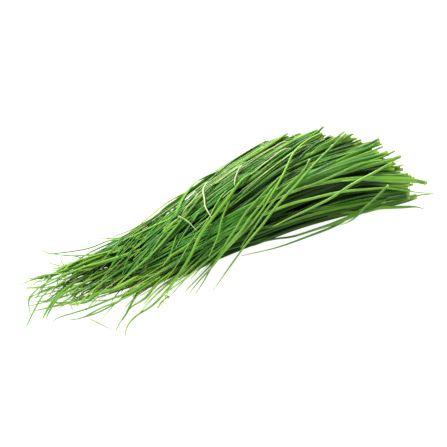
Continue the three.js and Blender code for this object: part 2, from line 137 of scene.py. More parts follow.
ASIDE_X = (-50, -95)  # tips turn aside more, the further out they lie

LEAF_STEPS = 30  # along the line of a leaf
LINE_FROM_X, LINE_LENGTH = 146, 250  # of the course that all leaves share
LEAN_FROM = 0.15  # share of that course at which a leaf has its own angle
LOOSE_FROM = (0.4, 1.1)  # shares of it from which the leaves lie looser
LOOSE_SWAY = 3
SWAY_LENGTH = 33
WAVE_TURN = 5  # of the wave in a free end
SETTLE = 0.4  # share of its height above its rest that a free end loses at each step

# Short cut ends of leaves inside the bunch, which fill the cut face.
INNER_STUBS = 380
STUB_STATIONS = 8
STUB = {"radius": 0.93, "end": (-2, 3), "length": (45, 75), "lean": (0, 0.3), "width": (1.8, 3.2)}

# Thread-like leaf ends among the tips.
FINE_TIPS = 22
FINE_TIP = {
    "start": (-85, -60), "tip": (-146, -112), "radius": 0.9, "sway": (0, 0.06), "stray": (0, 0.6),
    "width": (1.3, 1.9), "fall": (0.3, 1.1), "wave": (0, 0.9), "free": 0.4, "sag": (0.2, 1),
    "tone": (0.3, 1),
}

# Leaves that come up out of the heap and lie askew on it: ranges of where they begin, how
# far they turn from the bunch's run and spread, their length, radius, width and tone.
ASKEW_ROOT = 0.62  # share of the section's radius at which one begins
ASKEW_RISE = 0.3  # share of its length over which it comes up
ASKEW_ACROSS = 0.95
CROSSING = {"kind": "crossing", "count": 34, "x": (-60, 25), "across": (-0.3, 0.85),
            "heading": 0.4, "spread": 0.25, "length": (35, 80), "share": 1.02,
            "width": (1.2, 2.2), "tone": (0.1, 0.8)}
UPPER = {"kind": "upper", "count": 26, "x": (35, 105), "across": (0.0, 0.9),
         "heading": 0.28, "spread": 0.08, "length": (90, 140), "share": 0.96,
         "width": (1.5, 2.4), "tone": (0.0, 0.7)}
PALE = {"kind": "pale", "count": 15, "x": (25, 100), "across": (0.2, 0.92),
        "heading": 0.3, "spread": 0.07, "length": (60, 110), "share": 1.0,
        "width": (0.9, 1.3), "tone": (0.3, 1.0)}

# The blade of a leaf.
STATIONS = 44  # along a leaf
SECTION = (-1.0, -0.6, 0.0, 0.6, 1.0, 0.6, 0.0, -0.6)  # across the blade, over and back
THICKNESS = 0.62
TIP_THICKNESS = 0.45  # share of it that is left where the width ends
EDGE_THINNING = 0.5
EVEN_SHARE = 0.05  # of a leaf's length before it begins to narrow
LOOSE_EVEN_SHARE = 0.3  # the same, of a leaf that lies loose or leaves the heap
TIP_SHARE = 0.25  # of the width, before the tip's rounded end
TAPER = 1.8
ROUND_END, ROUND_LENGTH = 0.965, 0.036  # shares of the length
ROLL, EDGE_ROLL = 0.9, 0.3  # how far a blade turns about its length
CURL_SHARE, CURL_TURN = 0.5, 3.1  # of the roll, and how far that wave runs along the leaf
FOLD = (0.3, 0.95)  # depth of the channel, as a share of half the width
FOLD_MIDDLE = 0.4  # which keeps the channel's mean height at the line of the leaf
LEAST_Z = 0.02
LEVEL_BAND = (-0.6, -0.85)  # heights in the section from which the lowest blades lie level
FACING_LIMIT, FACING_UP = 1.5, 0.35  # how far a blade faces aside, and upward in any case

# How dark a leaf is where little light gets in: between others, low on the heap's side and
# at the near side of the tips. A pair says where that begins and is full: a share of the
# radius, up or across in the section, or an X.
DEEP_SHADE = 0.72
DEEP_RADIUS = (0.98, 0.62)
DEEP_X = (-125, -50)
LOW_SHADE, LOW_SHADE_LESS, LESS_X = 0.72, 0.34, (30, 100)
LOW_BAND = (0.4, -0.6)
NEAR_SHADE, NEAR_BAND, NEAR_X = 0.22, (0.1, -0.8), (10, -30)
SIDE_X = (-130, -85)
LOW_SHADE_TO = 1.5  # the low side is in shade out to this share of the section's radius
LOOSE_SHADE_TO = 1.1  # the same, for leaves that stand clear of the heap
OPEN_END, OPEN_BAND = 0.75, (-16, -1)  # light gets in at the cut

# The leaves that stand out are listed one by one: width, the share of the section's radius
# that the leaf stays outside of, and the points that it runs through.

# Long leaves of the bunch that leave the heap; some have a tone of their own at the end.
STRAYS = (
    (4.4, 0.97, ((49, 47, 29), (29, 38, 31), (-1, 33, 31), (-18, 23, 30), (-33, 8, 29),
                 (-50, -4, 26))),
    (2.0, 1.0, ((20, 38, 32), (-18, 24, 30), (-33, 21, 27), (-50, 16, 22), (-67, 21, 14),
                (-79, 33, 9))),
    (1.7, 0, ((-20, 10, 28), (-52, 6, 27), (-67, 9, 22), (-78, 17, 18), (-92, 21, 14),
              (-111, 33, 9), (-117, 43, 7)), 0.9),
    (2.0, 0, ((-40, -2, 24), (-77, 1, 21), (-89, 10, 16), (-104, 22, 12), (-114, 35, 9))),
    (1.9, 0, ((-60, 0, 22), (-102, 9, 17), (-115, 9, 13), (-126, 14, 9), (-137, 19, 5)), 0.9),
    (2.0, 0, ((-60, -6, 22), (-93, -3, 20), (-105, 1, 17), (-127, 4, 12), (-139, 3, 7),
              (-143, -1, 4), (-145, -9, 1)), 0.85),
    (1.9, 0, ((-80, 0, 16), (-113, 1, 12), (-123, 0, 10), (-134, -2, 7), (-149, -15, 2),
              (-151, -18, 1)), 0.85),
    (1.9, 0, ((-80, -8, 16), (-110, -8, 12), (-124, -7, 7), (-133, -12, 3), (-138, -17, 1)), 0.9),
    (1.8, 0, ((-80, -3, 12), (-110, -1, 9), (-127, -6, 5), (-136, -12, 2), (-140, -16, 1)), 0.8),
    (3.4, 0, ((-60, -18, 14), (-88, -22, 11), (-102, -18, 8), (-110, -19, 6), (-121, -14, 4))),
    (1.3, 0, ((-50, -20, 12), (-80, -27, 9), (-93, -25, 7), (-113, -23, 4), (-130, -20, 2),
              (-136, -22, 1)), 0.8),
    (1.2, 0, ((-60, -24, 10), (-84, -28, 7), (-104, -26, 3), (-118, -26, 1), (-130, -22, 1)), 0.9),
    (1.9, 0, ((-30, -20, 14), (-61, -26, 9), (-74, -31, 4), (-87, -34, 2), (-100, -44, 1),
              (-104, -49, 1)), 0.9),
    (2.2, 0, ((-30, -14, 16), (-66, -20, 11), (-78, -27, 6), (-90, -36, 2), (-96, -41, 1))),
    (2.0, 0, ((-60, 4, 22), (-96, 6, 17), (-106, 8, 14), (-120, 14, 9), (-129, 18, 7),
              (-138, 18, 5))),
    (2.0, 0, ((-70, -12, 14), (-101, -12, 10), (-113, -7, 6), (-121, -5, 4), (-133, -3, 2))),
    (1.8, 0, ((-70, 8, 18), (-104, 12, 14), (-113, 13, 12), (-123, 11, 9), (-132, 6, 4),
              (-136, 4, 2)), 0.8),
    (1.8, 0, ((-66, 2, 18), (-97, 3, 16), (-107, 3, 13), (-118, 5, 7), (-123, 4, 5),
              (-128, 1, 3)), 0.75),
    (3.4, 0, ((115, -28, 12), (90, -28, 9), (77, -27, 7), (60, -24, 4), (43, -21, 2),
              (29, -17, 2), (5, -15, 3))),
    (1.9, 0, ((125, -29, 14), (97, -28, 11), (89, -26, 7), (74, -26, 3), (52, -25, 1),
              (28, -25, 1), (1, -21, 1))),
    (4.2, 0, ((130, -35, 14), (120, -31, 13), (107, -26, 11), (88, -22, 9), (70, -20, 8)), 0.3),
    (1.5, 0, ((148, -38, 12), (139, -35, 12), (130, -34, 12), (109, -29, 12)), 1.0),
    (2.4, 1.0, ((77, 45, 37), (63, 39, 38), (46, 33, 38), (29, 29, 36), (13, 26, 34),
                (-5, 22, 32))),
    (2.6, 1.0, ((53, 37, 38), (36, 32, 37), (21, 29, 35), (6, 25, 34))),
    (2.4, 1.0, ((102, 37, 40), (91, 31, 40), (76, 26, 41), (55, 19, 40), (37, 13, 39))),
    (1.6, 1.0, ((112, 24, 40), (96, 17, 41), (85, 15, 41), (75, 10, 41))),
    (2.4, 1.0, ((116, 19, 40), (108, 17, 40), (92, 12, 41))),
    (1.8, 1.0, ((128, 3, 39), (117, 0, 39), (104, -2, 40), (86, -4, 40))),
    (4.0, 0.96, ((133, -38, 29), (123, -36, 32), (112, -33, 34), (103, -29, 35), (93, -25, 36),
                 (79, -22, 37))),
)
STRAY_TONES = (0.3, 0.9)  # of the others

# Thin leaves that stand out at the edges of the heap: width, tone, points.
EDGE_LEAVES = (
    (1.3, 0.8, ((-91, 10, 13), (-97, 15, 12), (-102, 22, 11), (-110, 31, 9), (-114, 36, 8),
                (-117, 42, 7))),
    (1.0, 0.4, ((-101, 15, 10), (-105, 16, 8), (-108, 18, 6), (-109, 22, 6), (-109, 25, 7),
                (-106, 28, 8))),
    (1.2, 0.9, ((-115, -12, 3), (-125, -7, 2), (-128, -4, 3), (-134, 0, 2), (-139, 3, 2))),
    (1.0, 0.8, ((-102, -16, 8), (-109, -15, 5), (-113, -10, 4), (-115, -7, 4))),
    (2.6, 0.9, ((60, -10, 12), (78, -20, 10), (95, -27, 8), (107, -30, 9),
                (116, -34, 9), (125, -37, 8), (133, -38, 6), (139, -41, 4))),
    (2.6, 0.3, ((126, 31, 26), (114, 28, 28), (100, 23, 30), (81, 18, 32), (59, 12, 33))),
    (2.2, 0.5, ((124, 34, 26), (112, 31, 28), (98, 26, 30), (79, 20, 32), (57, 14, 33))),
    (1.3, 0.7, ((-71, -41, 1), (-66, -37, 1), (-62, -36, 2), (-60, -36, 2), (-61, -34, 2),
                (-62, -33, 2))),
)

# Two that turn yellow, along the far edge of the waist.
YELLOWING_LEAVES = (
    (1.9, 0.7, ((22, 30, 28), (4, 33, 25), (-11, 36, 21.5), (-26, 34, 19.6), (-40, 28, 18.8),
                (-55, 23, 16.6), (-67, 24, 14.4), (-75, 28, 11))),
    (1.5, 0.4, ((40, 36, 33), (20, 37, 29), (2, 38, 24), (-14, 36, 20), (-30, 28, 20),
                (-46, 20, 19), (-60, 15, 17))),
)

# Leaves that lie loose over the bunch, from the cut end to the tip.
LOOSE_LEAVES = (
    (1.9, 1.28, ((106, 14, 46), (72, -4, 46), (48, -16, 42), (27, -25, 37), (12, -31, 30),
                 (-2, -34, 21), (-12, -35, 11), (-22, -38, 4), (-34, -45, 1))),
    (1.8, 1.15, ((69, 2, 43.5), (59, -6, 42), (45, -12, 40), (31, -17, 37), (16, -24, 32),
                 (2, -29, 23), (-4, -30, 16))),
    (2.1, 1.16, ((92, 25, 44), (79, 22, 44), (63, 14, 44), (45, -2, 42), (21, -19, 36),
                 (6, -26, 30), (-8, -29, 23), (-18, -30, 16))),
    (1.8, 1.15, ((28, -9, 39), (17, -14, 37), (6, -19, 34), (-4, -24, 29), (-15, -29, 22),
                 (-25, -31, 11), (-33, -33, 2), (-45, -42, 1))),
    (1.8, 1.24, ((20, -18, 38), (7, -24, 34), (-3, -28, 29), (-16, -32, 22), (-26, -32, 11),
                 (-39, -35, 4), (-51, -42, 1))),
    (1.5, 1.13, ((10, 3, 38), (0, -6, 36), (-11, -17, 33), (-18, -25, 28), (-25, -29, 21),
                 (-27, -29, 17))),
    (2.3, 1.22, ((14, 5, 40), (-1, -5, 38), (-16, -13, 34), (-29, -21, 30), (-41, -29, 22),
                 (-55, -33, 10), (-71, -38, 3), (-86, -41, 1), (-95, -47, 1), (-101, -56, 1))),
    (2.3, 1.13, ((-6, 14, 36), (-28, 1, 32), (-42, -7, 30), (-61, -16, 25), (-80, -21, 19),
                 (-94, -24, 13))),
    (3.0, 1.09, ((139, -39, 26), (126, -35, 31), (109, -29, 34), (92, -23, 36), (75, -19, 37),
                 (55, -16, 37), (39, -16, 36), (15, -16, 34))),
    (1.9, 1.06, ((17, -22, 31), (39, -22, 32), (57, -24, 32), (76, -27, 32), (94, -30, 30),
                 (111, -35, 28), (128, -40, 22), (142, -40, 16))),
    (1.9, 1.2, ((119.5, -24.5, 40), (104, -27, 39), (84, -29, 37), (65, -31, 33), (47, -31, 30),
                (32, -31, 28), (20, -31, 26))),
    (1.7, 1.2, ((108, -37, 33), (101, -39, 30), (90, -39, 23), (82, -33, 14), (74, -26, 8))),
    (2.2, 1.14, ((115, -18, 40), (98, -16, 41), (80, -17, 40), (61, -18, 39), (46, -16, 38))),
    (1.7, 1.09, ((-5, -1, 35), (-21, -13, 31), (-35, -20, 27), (-49, -28, 20), (-62, -30, 8))),
    (1.6, 1.2, ((-44, -22, 25), (-52, -23, 23), (-59, -25, 19))),
)
EMERGING = (4, 5, 6, 7, 8, 14, 15)  # those that come out from under others
# How far back such a leaf's start lies under them, and at which share of the radius.
UNDER = ((36, 0.55), (27, 0.66), (18, 0.78), (9, 0.92))
UNDER_RUN = 4  # steps from the leaf's start that give its direction

# Withered ends that lie on top, given in the same way and with a tone.
DRY_LEAVES = (
    (1.4, 1.24, ((-3, 19, 38), (-8, 14, 37), (-12, 5, 37), (-15, -2, 36), (-16, -9, 35),
                 (-16, -13, 34)), 0.9),
    (1.2, 1.24, ((-13, 12, 37), (-19, 8, 36), (-25, 5, 35), (-31, 1, 33)), 0.45),
    (1.3, 1.12, ((27, 23, 40), (23, 20, 39), (17, 14, 39), (13, 8, 39), (12, 6, 39)), 0.6),
    (1.1, 1.3, ((-34, 0, 34), (-32, -5, 34), (-31, -11, 34), (-30, -18, 33)), 0.0),
    (1.0, 0, ((-113, -29, 1), (-109, -37, 1), (-104, -47, 1)), 0.5),
)


class Draw:
    """A small seeded generator, so that every run lays the same leaves."""

    WORD = 0xFFFFFFFF  # 32 bits
    STEP = 0x6D2B79F5

    def __init__(self, kind, number):
        self.state = SEED + SEEDS[kind] + number

    def next(self):
        self.state = (self.state + self.STEP) & self.WORD
        t = self.state
        t = ((t ^ (t >> 15)) * (t | 1)) & self.WORD
        t ^= (t + (((t ^ (t >> 7)) * (t | 61)) & self.WORD)) & self.WORD
        return ((t ^ (t >> 14)) & self.WORD) / (self.WORD + 1)

    def between(self, low, high):
        return low + (high - low) * self.next()

    def bell(self):
        """Mostly near zero, never beyond 2 either way."""
        return self.next() + self.next() + self.next() + self.next() - 2

    def about(self, middle, spread):
        return middle + spread * self.bell()


def clamp(value, low, high):
    return min(max(value, low), high)


def smooth(low, high, value):
    """0 at low and 1 at high, with an easy start and end; low may be the greater."""
    t = clamp((value - low) / (high - low), 0, 1)
    return t * t * (3 - 2 * t)


def curve(a, b, c, d, t):
    """A smooth curve from b to c that comes from a and goes on to d."""
    return 0.5 * (2 * b + (c - a) * t + (2 * a - 5 * b + 4 * c - d) * t * t
                  + (3 * b - 3 * c + d - a) * t * t * t)


# The heap as a rounded section that changes along X.
def along(values, x):
    last = len(values) - 1
    t = clamp((x - FIRST_X) / (STEP_X * last), 0, 0.99999) * last
    k = int(t)
    a, b, c, d = (values[int(clamp(k + step, 0, last))] for step in (-1, 0, 1, 2))
    return curve(a, b, c, d, t - k)


def heap_at(x):
    far, near = along(FAR_EDGE, x), along(NEAR_EDGE, x)
    return (far + near) / 2, (far - near) / 2, along(HEIGHT, x)


def section(angle, radius):
    """A spot as (across, up), each from -1 to 1. An angle of 0 is on the far side, and a
    quarter turn is on top."""
    c, s = math.cos(angle), math.sin(angle)
    return (radius * math.copysign(abs(c) ** SQUARENESS, c),
            radius * math.copysign(abs(s) ** SQUARENESS, s))


def radius_of(spot):
    across, up = spot
    return (abs(across) ** POWER + abs(up) ** POWER) ** (1 / POWER)


def place(x, spot):
    """The point for a spot of the section; the underside is pressed flat."""
    across, up = spot
    middle, half, height = heap_at(x)
    z = max(FLOOR_GAP, 0.5 * height * (1 + up) - PRESSED * smooth(*PRESSED_BAND, up))
    return Vector((x, middle + half * across, z))


def place_in(point):
    middle, half, height = heap_at(point.x)
    return (point.y - middle) / half, 2 * point.z / height - 1


def moved_out(point, share):
    """The point at this share of its way out from the middle of the section."""
    middle, half, height = heap_at(point.x)
    across, up = place_in(point)
    z = max(FLOOR_GAP, 0.5 * height * (1 + up * share))
    return Vector((point.x, middle + half * across * share, z))


def clear_of(point, radius):
    """Moves a point out of the heap until it has this share of the section's radius."""
    own = radius_of(place_in(point))
    return moved_out(point, radius / max(own, 0.01) if own < radius else 1)


def notch(spot):
    """How far the cut ends step back at a spot."""
    turn = math.degrees(math.atan2(spot[1], spot[0]))
    back = sum(depth * smooth(half, 0, abs(turn - at)) for at, half, depth in NOTCHES)
    return back * smooth(*NOTCH_RADIUS, math.hypot(*spot))


def cut_x(spot):
    across, up = spot
    far = clamp((across - CUT_SLANT_FROM) / (1 - CUT_SLANT_FROM), 0, 1)
    lip = CUT_LIP * (smooth(*CUT_LOW, up) + smooth(*CUT_NEAR, across))
    return CUT_X - CUT_SLANT * far ** CUT_SLANT_POWER + lip - notch(spot)


# Leaves that run along the bunch.
def handful(ring, index):
    """What the leaves of one handful share."""
    rule, draw = RINGS[ring], Draw("handful", RING_SEEDS["handful"] * ring + index)
    angle = 2 * math.pi * (index + draw.about(*HANDFUL["place"])) / rule["handfuls"]
    upper = smooth(*UPPER_SIDE, math.sin(angle))
    upper_lean = TOP_LEAN * smooth(*TOP_TURN, angle) + draw.about(*HANDFUL["upper_lean"])
    lower_lean = draw.about(*HANDFUL["lower_lean"])
    return {
        "angle": angle,
        "radius": rule["radius"] + (HANDFUL_STAGGER if index % 2 else -HANDFUL_STAGGER),
        "lean": upper * upper_lean + (1 - upper) * lower_lean,
        "dive": draw.about(*HANDFUL["dive"]),
        "end": draw.about(*HANDFUL["end"]),
        "tips": draw.about(*HANDFUL["tips"]),
        "fall": draw.about(*HANDFUL["fall"]),
        "tone": draw.next(),
    }


def leaf_number(kind, ring, index, number):
    return RING_SEEDS[kind] * ring + HANDFUL_SEEDS * index + number


def leaf_of(ring, index, number):
    """One leaf's own numbers: where it lies, how it leans and how long it is."""
    hand, rule = handful(ring, index), RINGS[ring]
    draw = Draw("leaf", leaf_number("leaf", ring, index, number))
    leaf = {}
    spot = (number + draw.about(*LEAF["place"])) / rule["leaves"] - 0.5
    leaf["angle"] = hand["angle"] + OVERLAP * 2 * math.pi * spot / rule["handfuls"]
    leaf["radius"] = clamp(hand["radius"] + draw.about(*LEAF["radius"]), *RADII)
    at_tip = leaf["radius"] + hand["dive"] + draw.about(*LEAF["dive"])
    leaf["radius_at_tip"] = clamp(at_tip, *RADII)
    leaf["lean"] = hand["lean"] * (INNER_LEAN if ring else 1) + draw.about(*LEAF["lean"])
    leaf["sway"] = draw.about(*LEAF["sway"])
    leaf["stray"] = draw.about(*LEAF["stray"])
    leaf["phase"] = draw.between(0, FULL_TURN)
    start = cut_x(section(leaf["angle"], leaf["radius"])) + hand["end"] + draw.about(*LEAF["end"])
    if draw.next() < LONG_STARTS:
        start += draw.between(*LONG_BY)
    start = min(start, LAST_CUT_X)
    near = smooth(*NEAR_TIPS, math.cos(leaf["angle"] + leaf["lean"]))
    tip = TIP_X + NEAR_TIPS_BACK * near + RING_TIPS_BACK * ring
    tip = clamp(tip + hand["tips"] + draw.about(*LEAF["tips"]), FURTHEST_TIP_X, SHORTEST_TIP_X)
    leaf["tip"] = max(tip, start - LONGEST_LEAF - LENGTH_SLACK * draw.next())
    leaf["start"] = start
    leaf["width"] = draw.between(*WIDTHS)
    if draw.next() < WIDE_LEAVES:
        leaf["width"] += WIDE_BY
    aside = smooth(*ASIDE_X, leaf["tip"])
    leaf["fall"] = aside * (hand["fall"] + draw.about(*LEAF["fall"]))
    leaf["wave"] = aside * draw.about(*LEAF["wave"])
    leaf["free"] = (start - leaf["tip"]) * draw.between(*FREE_FROM)
    leaf["sag"] = draw.between(*SAG)
    leaf["tone"] = HAND_TONE * hand["tone"] + (1 - HAND_TONE) * draw.next()
    return leaf


def inner_stub(number):
    """The cut end of a leaf inside the bunch, which fills the cut face."""
    draw = Draw("stub", number)
    angle, radius = draw.between(0, FULL_TURN), STUB["radius"] * math.sqrt(draw.next())
    start = cut_x(section(angle, radius)) + draw.about(*STUB["end"])
    length = draw.between(*STUB["length"])
    return {
        "angle": angle,
        "radius": radius,
        "radius_at_tip": radius,
        "lean": draw.about(*STUB["lean"]),
        "sway": 0,
        "stray": 0,
        "phase": 0,
        "start": min(start, LAST_CUT_X),
        "tip": start - length,
        "width": draw.between(*STUB["width"]),
        "free": length + 1,
        "tone": draw.next(),
    }


def fine_tip(number):
    """A thread-like leaf end among the tips, given as a leaf is."""
    draw = Draw("fine_tip", number)
    start, tip = draw.between(*FINE_TIP["start"]), draw.between(*FINE_TIP["tip"])
    radius = FINE_TIP["radius"] * math.sqrt(draw.next())
    return {
        "angle": draw.between(0, FULL_TURN),
        "radius": radius,
        "radius_at_tip": radius,
        "lean": 0,
        "sway": draw.about(*FINE_TIP["sway"]),
        "stray": draw.about(*FINE_TIP["stray"]),
        "phase": draw.between(0, FULL_TURN),
        "start": start,
        "tip": tip,
        "width": draw.between(*FINE_TIP["width"]),
        "fall": draw.about(*FINE_TIP["fall"]),
        "wave": draw.about(*FINE_TIP["wave"]),
        "free": FINE_TIP["free"] * (start - tip),
        "sag": draw.between(*FINE_TIP["sag"]),
        "tone": draw.between(*FINE_TIP["tone"]),
    }


def hollow(angle, x):
    """How far the leaves sink in along the near side, where the bunch is thin."""
    turn = math.degrees(angle)
    begins, full, fades, ends = HOLLOW_DEGREES
    band = smooth(begins, full, turn) * smooth(ends, fades, turn)
    begins, full, fades, ends = HOLLOW_X
    return HOLLOW * band * smooth(begins, full, x) * smooth(ends, fades, x)


def held_point(leaf, x):
    """Where a leaf runs while others hold it."""
    f = (LINE_FROM_X - x) / LINE_LENGTH
    loose = smooth(*LOOSE_FROM, f)
    angle = leaf["angle"] + leaf["lean"] * (f - LEAN_FROM)
    angle += leaf["sway"] * (1 + LOOSE_SWAY * loose) * math.sin(x / SWAY_LENGTH + leaf["phase"])
    angle += leaf["stray"] * loose
    radius = leaf["radius"] + (leaf["radius_at_tip"] - leaf["radius"]) * clamp(f, 0, 1)
    return place(x, section(angle, max(RADII[0], radius - hollow(angle, x))))


def free_point(leaf, last, heading, up, t):
    """The next point of a leaf's free end, which turns aside and sags."""
    step = (leaf["start"] - leaf["tip"]) / LEAF_STEPS
    wave = leaf["wave"] * t * math.sin(leaf["phase"] + WAVE_TURN * t)
    turned = heading - leaf["fall"] * t * t + wave
    x, y = last.x - step * math.cos(turned), last.y + step * math.sin(turned)
    rest = 0.5 * heap_at(x)[2] * (1 + up) * (1 - leaf["sag"] * t)
    return Vector((x, y, max(FLOOR_GAP, last.z + SETTLE * (rest - last.z))))


def leaf_path(leaf):
    length = leaf["start"] - leaf["tip"]
    points, heading, up = [], None, 0
    for k in range(LEAF_STEPS + 1):
        s = length * k / LEAF_STEPS
        if s <= leaf["free"]:
            points.append(held_point(leaf, leaf["start"] - s))
            up = place_in(points[-1])[1]
            continue
        last = points[-1]
        if heading is None:
            before = points[-2]
            heading = math.atan2(last.y - before.y, before.x - last.x)
        t = (s - leaf["free"]) / (length - leaf["free"])
        points.append(free_point(leaf, last, heading, up, t))
    return points


# Leaves that lie on the heap or leave it.
def askew_path(rule, number):
    """A leaf that comes up out of the heap and lies askew over its upper side."""
    draw = Draw(rule["kind"], number)
    x, across = draw.between(*rule["x"]), draw.between(*rule["across"])
    heading = draw.about(rule["heading"], rule["spread"])
    curl = draw.about(0, rule["spread"])
    step = draw.between(*rule["length"]) / LEAF_STEPS
    middle, half, _ = heap_at(x)
    y = middle + half * across
    points = []
    for k in range(LEAF_STEPS + 1):
        t = k / LEAF_STEPS
        middle, half, _ = heap_at(x)
        across = clamp((y - middle) / half, -ASKEW_ACROSS, ASKEW_ACROSS)
        up = (1 - abs(across) ** POWER) ** (1 / POWER)
        share = ASKEW_ROOT + (rule["share"] - ASKEW_ROOT) * smooth(0, ASKEW_RISE, t)
        points.append(place(x, (across * share, up * share)))
        x -= step * math.cos(heading + curl * t)
        y -= step * math.sin(heading + curl * t)
    return points


def line_through(points, count):
    """A smooth line through points, as count + 1 points."""
    first = 2 * Vector(points[0]) - Vector(points[1])
    final = 2 * Vector(points[-1]) - Vector(points[-2])
    knots = [first] + [Vector(p) for p in points] + [final]
    spans = len(points) - 1
    line = []
    for k in range(count + 1):
        t = min(k * spans / count, spans - 1e-6)
        i = int(t)
        line.append(curve(*knots[i:i + 4], t - i))
    return line


def listed_path(points, radius):
    """The course of a leaf from the lists, kept clear of the heap."""
    return [clear_of(p, radius) for p in line_through(points, LEAF_STEPS)]


def from_under(path):
    """The path with a start that comes up out of the heap."""
    run = (path[0] - path[UNDER_RUN]).normalized()
    return [moved_out(path[0] + reach * run, share) for reach, share in UNDER] + path


# Blades: a shallow channel that narrows to the tip, cut square at the other end.
def facing(point, tangent):
    """Which way a blade's upper side faces: out of the heap, and level at the bottom."""
    across, up = place_in(point)
    aside = clamp(across, -FACING_LIMIT, FACING_LIMIT) * (1 - smooth(*LEVEL_BAND, up))
    out = Vector((0, aside, min(abs(up), FACING_LIMIT) + FACING_UP))
    return (out - out.dot(tangent) * tangent).normalized()


def width_share(t, even):
    """The width's share at t along a leaf that narrows from the share even on."""
    share = 1 - (1 - TIP_SHARE) * clamp((t - even) / (1 - even), 0, 1) ** TAPER
    return share * math.sqrt(1 - clamp((t - ROUND_END) / ROUND_LENGTH, 0, 1) ** 2)


def painted_shade_of(point, shade_to):
    """Painted shade at a point: 0 in the open, up to 1 deep in the heap and low on its side; both
    ends lie open.
    """
    across, up = place_in(point)
    radius = radius_of((across, up))
    low = (LOW_SHADE - LOW_SHADE_LESS * smooth(*LESS_X, point.x)) * smooth(*LOW_BAND, up)
    near = NEAR_SHADE * smooth(*NEAR_BAND, across) * smooth(*NEAR_X, point.x)
    side = (low + near) * smooth(shade_to, 1, radius) * smooth(*SIDE_X, point.x)
    deep = smooth(*DEEP_RADIUS, radius) * smooth(*DEEP_X, point.x)
    open_end = OPEN_END * smooth(*OPEN_BAND, point.x - cut_x((across, up)))
    return clamp(deep + side, 0, 1) * (1 - open_end)


def blade(path, width, tone, draw, even=LOOSE_EVEN_SHARE, roll=ROLL, stations=STATIONS,
          shade_to=LOW_SHADE_TO):
    """Points of one leaf as rows across it, and what its colour needs to know."""
    line = line_through(path, stations)
    turn, curl = roll * draw.bell(), CURL_SHARE * roll * draw.bell()
    fold, phase = draw.between(*FOLD), draw.between(0, FULL_TURN)
    rows = []
    for k, point in enumerate(line):
        t = k / stations
        tangent = (line[min(k + 1, stations)] - line[max(k - 1, 0)]).normalized()
        out = facing(point, tangent)
        side = tangent.cross(out)
        angle = turn + curl * math.sin(CURL_TURN * t + phase)
        side, out = (math.cos(angle) * side + math.sin(angle) * out,
                     math.cos(angle) * out - math.sin(angle) * side)
        share = width_share(t, even)
        half = 0.5 * width * share
        thick = THICKNESS * (TIP_THICKNESS + (1 - TIP_THICKNESS) * share)
        row = []
        for j, u in enumerate(SECTION):
            over = 0.5 if 0 < j < 4 else -0.5 if j > 4 else 0
            lift = fold * half * (FOLD_MIDDLE - u * u)
            lift += over * thick * (1 - EDGE_THINNING * abs(u))
            spot = point + half * u * side + lift * out
            spot.z = max(spot.z, LEAST_Z)
            row.append(spot)
        rows.append(row)
    length = sum((b - a).length for a, b in zip(line, line[1:]))
    painted_shades = [painted_shade_of(point, shade_to) for point in line]
    return {"rows": rows, "length": length, "tone": tone, "painted_shades": painted_shades}


# Meshes.
# The depth note holds the painted shade of each point.
NOTES = ("tone", "from_cut", "length", "across", "depth")  # each point holds them for the colour
# Each leaf has a straight strip of the bake map, measured in widths of one face.
STRIP_MARGIN = 0.1  # before a strip
STRIP_MARGINS = 0.4  # on both sides together
CAP_MARGINS = 1.4
CAP_ROWS = (0.0, 0.999)


def side_strip(number, j, low, high):
    """A side face's place in the bake map; a leaf's strip is 1 wide here."""
    places = len(SECTION) + STRIP_MARGINS
    left, right = number + (j + STRIP_MARGIN) / places, number + (j + 1 + STRIP_MARGIN) / places
    return (right, low), (left, low), (left, high), (right, high)


def mesh_of(name, blades, material):
    """One object of several leaves."""
    sides = len(SECTION)
    points, faces, strips, notes = [], [], [], []
    for number, leaf in enumerate(blades):
        base = len(points)
        stations = len(leaf["rows"]) - 1
        for k, row in enumerate(leaf["rows"]):
            points.extend(row)
            from_cut = leaf["length"] * k / stations
            notes.extend((leaf["tone"], from_cut, leaf["length"], u, leaf["painted_shades"][k])
                         for u in SECTION)
        for k in range(stations):
            for j in range(sides):
                a, b = base + k * sides + j, base + k * sides + (j + 1) % sides
                faces.append((b, a, a + sides, b + sides))
                strips.append(side_strip(number, j, k / stations, (k + 1) / stations))
        end = base + stations * sides
        faces.append(tuple(base + j for j in range(sides)))
        faces.append(tuple(end + j for j in reversed(range(sides))))
        strips.extend(tuple((number + (j + 1) / (sides + CAP_MARGINS), low) for j in range(sides))
                      for low in CAP_ROWS)
    return object_of(name, points, faces, strips, notes, len(blades), material)


def object_of(name, points, faces, strips, notes, count, material):
    mesh = bpy.data.meshes.new(name)
    mesh.from_pydata([tuple((p - MIDDLE) * MM) for p in points], [], faces)
    uv = mesh.uv_layers.new(name="OFBake")
    uv.data.foreach_set("uv", [c for strip in strips for u, v in strip for c in (u / count, v)])
    notes = np.array(notes, dtype=np.float32)
    for k, note in enumerate(NOTES):
        layer = mesh.attributes.new(note, "FLOAT", "POINT")
        layer.data.foreach_set("value", np.ascontiguousarray(notes[:, k]))
    mesh.polygons.foreach_set("use_smooth", [len(f) == 4 for f in faces])
    mesh.materials.append(material)
    mesh.validate()
    obj = bpy.data.objects.new(name, mesh)
    bpy.context.scene.collection.objects.link(obj)
    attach(obj, "root")
    return obj


# Materials.
def colour(text):
    """A colour written as sRGB hex, made linear."""
    parts = [int(text[k:k + 2], 16) / 255 for k in (1, 3, 5)]
    return (*[p / 12.92 if p <= 0.04045 else ((p + 0.055) / 1.055) ** 2.4 for p in parts], 1)


def add(tree, kind, settings, links, out=0):
    """Adds a node; a link is a value or another node's output. Gives one of its outputs."""
    made = tree.nodes.new(kind)
    for key, value in settings.items():
        setattr(made, key, value)
    for key, value in links.items():
        if isinstance(value, bpy.types.NodeSocket):
            tree.links.new(value, made.inputs[key])
        else:
            made.inputs[key].default_value = value
    return made.outputs[out]


